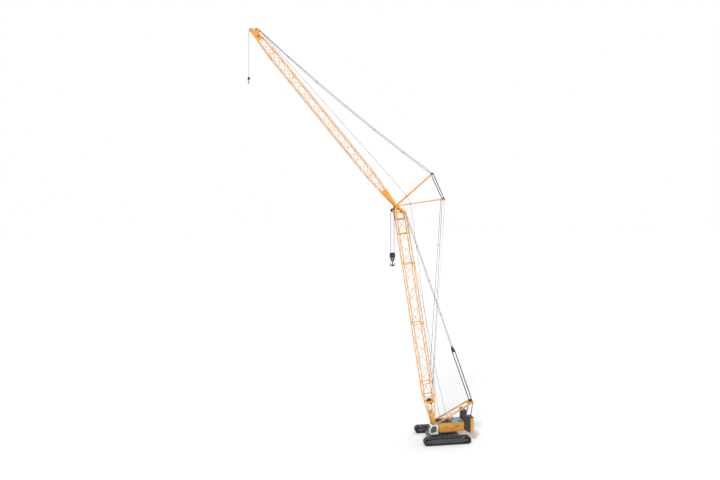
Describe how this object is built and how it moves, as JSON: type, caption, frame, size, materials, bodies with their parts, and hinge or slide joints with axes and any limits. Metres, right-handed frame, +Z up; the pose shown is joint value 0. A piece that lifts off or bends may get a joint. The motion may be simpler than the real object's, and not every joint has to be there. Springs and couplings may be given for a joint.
{
  "type": "lattice boom crawler crane with luffing jib, 1:10 scale model",
  "caption": "Crawler crane with a lattice main boom and a luffing jib held by two struts and stays; a block with a double hook and a ball hook hang from the two heads.",
  "frame": {"origin": "on the ground at the slewing axis", "axes": "+X forward, +Y to the crane's left (the cab's side), +Z up"},
  "size_m": [4.4716, 0.84, 8.0237],
  "materials": {
    "bearing_steel": "greased teeth",
    "black_winch": "satin paint with greased rope",
    "counterweight_grey": "satin paint",
    "dark_frame": "satin paint",
    "glass": "tinted",
    "hook_black": "forged",
    "orange": "gloss paint",
    "roof_grey": "satin paint",
    "rope": "wire rope",
    "seat": "matt",
    "sheave": "dark cast",
    "stay_grey": "dull paint",
    "strut_grey": "satin paint",
    "track_steel": "worn dark steel",
    "white": "gloss paint"
  },
  "bodies": {
    "undercarriage": {"carbody": "dark_frame", "carbody_ballast": "roof_grey", "slew_ring": "bearing_steel", "tracks": "track_steel", "track_frames": "dark_frame", "track_wheels": "track_steel"},
    "superstructure": {"main_frame": "orange", "winches": "black_winch", "side_houses": "orange", "engine_room": "orange", "engine_roof": "roof_grey", "engine_block": "dark_frame", "exhaust": "bearing_steel", "cab_shell": "white", "cab_glass": "glass", "cab_interior": "seat", "counterweight_tray": "orange", "counterweights": "counterweight_grey", "a_frame": "orange", "a_frame_struts": "strut_grey"},
    "cab_door": {"cab_door": "white", "cab_door_glass": "glass"},
    "left_engine_door": {"left_engine_door": "orange"},
    "right_engine_door": {"right_engine_door": "orange"},
    "boom": {"boom_base": "orange", "boom_winch": "black_winch", "boom_section_1": "orange", "boom_section_2": "orange", "boom_section_3": "orange", "boom_head": "orange", "boom_head_guides": "sheave", "rear_strut": "orange", "rear_stays": "stay_grey"},
    "jib": {"jib_base": "orange", "jib_section_1": "orange", "jib_section_2": "orange", "jib_section_3": "orange", "jib_head": "orange", "jib_head_guide": "sheave", "front_strut": "orange", "jib_stays": "stay_grey"},
    "boom_tackle": {"boom_tackle": "sheave"},
    "boom_stays": {"tackle_block": "black_winch", "boom_stays": "stay_grey"},
    "jib_tackle": {"jib_tackle": "sheave"},
    "jib_tackle_end": {"jib_tackle_end": "sheave"},
    "main_falls": {"main_head_sheaves": "sheave", "main_falls": "rope"},
    "main_hook_block": {"main_hook_block": "hook_black"},
    "main_hook": {"main_hook": "hook_black"},
    "jib_head_sheave": {"jib_head_sheave": "sheave"},
    "jib_hook_line": {"jib_hook_line": "rope"},
    "jib_hook_ball": {"jib_hook_ball": "hook_black"},
    "jib_hook": {"jib_hook": "hook_black"}
  },
  "joints": [
    {"name": "slew", "type": "hinge", "parent": "undercarriage", "child": "superstructure", "pos_m": [0, 0, 0.16], "axis": [0, 0, 1], "continuous": true},
    {"name": "boom_luff", "type": "hinge", "parent": "superstructure", "child": "boom", "pos_m": [0.186, 0, 0.273], "axis": [0, -1, 0], "range_deg": [-16, 7]},
    {"name": "jib_luff", "type": "hinge", "parent": "boom", "child": "jib", "pos_m": [0.94164, 0, 4.62841], "axis": [0, -1, 0], "range_deg": [-36, 18]},
    {"name": "boom_tackle_swing", "type": "hinge", "parent": "superstructure", "child": "boom_tackle", "pos_m": [-0.603, 0, 0.7], "axis": [0, -1, 0], "range_deg": [-16.27, 7.13]},
    {"name": "boom_tackle_reach", "type": "slide", "parent": "boom_tackle", "child": "boom_stays", "axis": [0.3352, 0, 0.9422], "range_m": [-0.1095, 0.249]},
    {"name": "jib_tackle_swing", "type": "hinge", "parent": "boom", "child": "jib_tackle", "pos_m": [-0.02809, 0, 4.76988], "axis": [0, -1, 0], "range_deg": [-18, 9]},
    {"name": "jib_tackle_reach", "type": "slide", "parent": "jib_tackle", "child": "jib_tackle_end", "axis": [0.4163, 0, 0.9092], "range_m": [-0.2862, 0.5713]},
    {"name": "main_falls_swing", "type": "hinge", "parent": "boom", "child": "main_falls", "pos_m": [1.00986, 0, 4.54775], "axis": [0, -1, 0], "range_deg": [-7, 16]},
    {"name": "main_hoist", "type": "slide", "parent": "main_falls", "child": "main_hook_block", "axis": [0, 0, 1], "range_m": [-2.6, 0.4], "deforming": ["main_falls"]},
    {"name": "main_hook_swivel", "type": "hinge", "parent": "main_hook_block", "child": "main_hook", "pos_m": [1.00986, 0, 3.54775], "axis": [0, 0, 1], "continuous": true},
    {"name": "jib_sheave_turn", "type": "hinge", "parent": "jib", "child": "jib_head_sheave", "pos_m": [3.76303, 0, 7.9814], "axis": [0, -1, 0], "range_deg": [-7, 16]},
    {"name": "jib_line_swing", "type": "hinge", "parent": "jib_head_sheave", "child": "jib_hook_line", "pos_m": [3.76303, 0, 7.9814], "axis": [0, -1, 0], "range_deg": [-18, 36]},
    {"name": "jib_hoist", "type": "slide", "parent": "jib_hook_line", "child": "jib_hook_ball", "axis": [0, 0, 1], "range_m": [-2.4, 0.6], "deforming": ["jib_hook_line"]},
    {"name": "jib_hook_swivel", "type": "hinge", "parent": "jib_hook_ball", "child": "jib_hook", "pos_m": [3.80463, 0, 7.0214], "axis": [0, 0, 1], "continuous": true},
    {"name": "cab_door", "type": "hinge", "parent": "superstructure", "child": "cab_door", "pos_m": [0.179, 0.2595, 0.252], "axis": [0, 0, 1], "range_deg": [0, 85]},
    {"name": "left_engine_door", "type": "hinge", "parent": "superstructure", "child": "left_engine_door", "pos_m": [-0.385, 0.1665, 0.254], "axis": [0, 0, 1], "range_deg": [0, 110]},
    {"name": "right_engine_door", "type": "hinge", "parent": "superstructure", "child": "right_engine_door", "pos_m": [-0.385, -0.1665, 0.254], "axis": [0, 0, -1], "range_deg": [0, 110]}
  ],
  "couplings": [
    {"joint": "boom_tackle_swing", "follows": "boom_luff", "ratio": 1.0161},
    {"joint": "boom_tackle_reach", "follows": "boom_luff", "m_per_rad": -0.8881},
    {"joint": "main_falls_swing", "follows": "boom_luff", "ratio": -1},
    {"joint": "jib_sheave_turn", "follows": "boom_luff", "ratio": -1},
    {"joint": "jib_tackle_swing", "follows": "jib_luff", "ratio": 0.5},
    {"joint": "jib_tackle_reach", "follows": "jib_luff", "m_per_rad": -0.9077},
    {"joint": "jib_line_swing", "follows": "jib_luff", "ratio": -1}
  ]
}
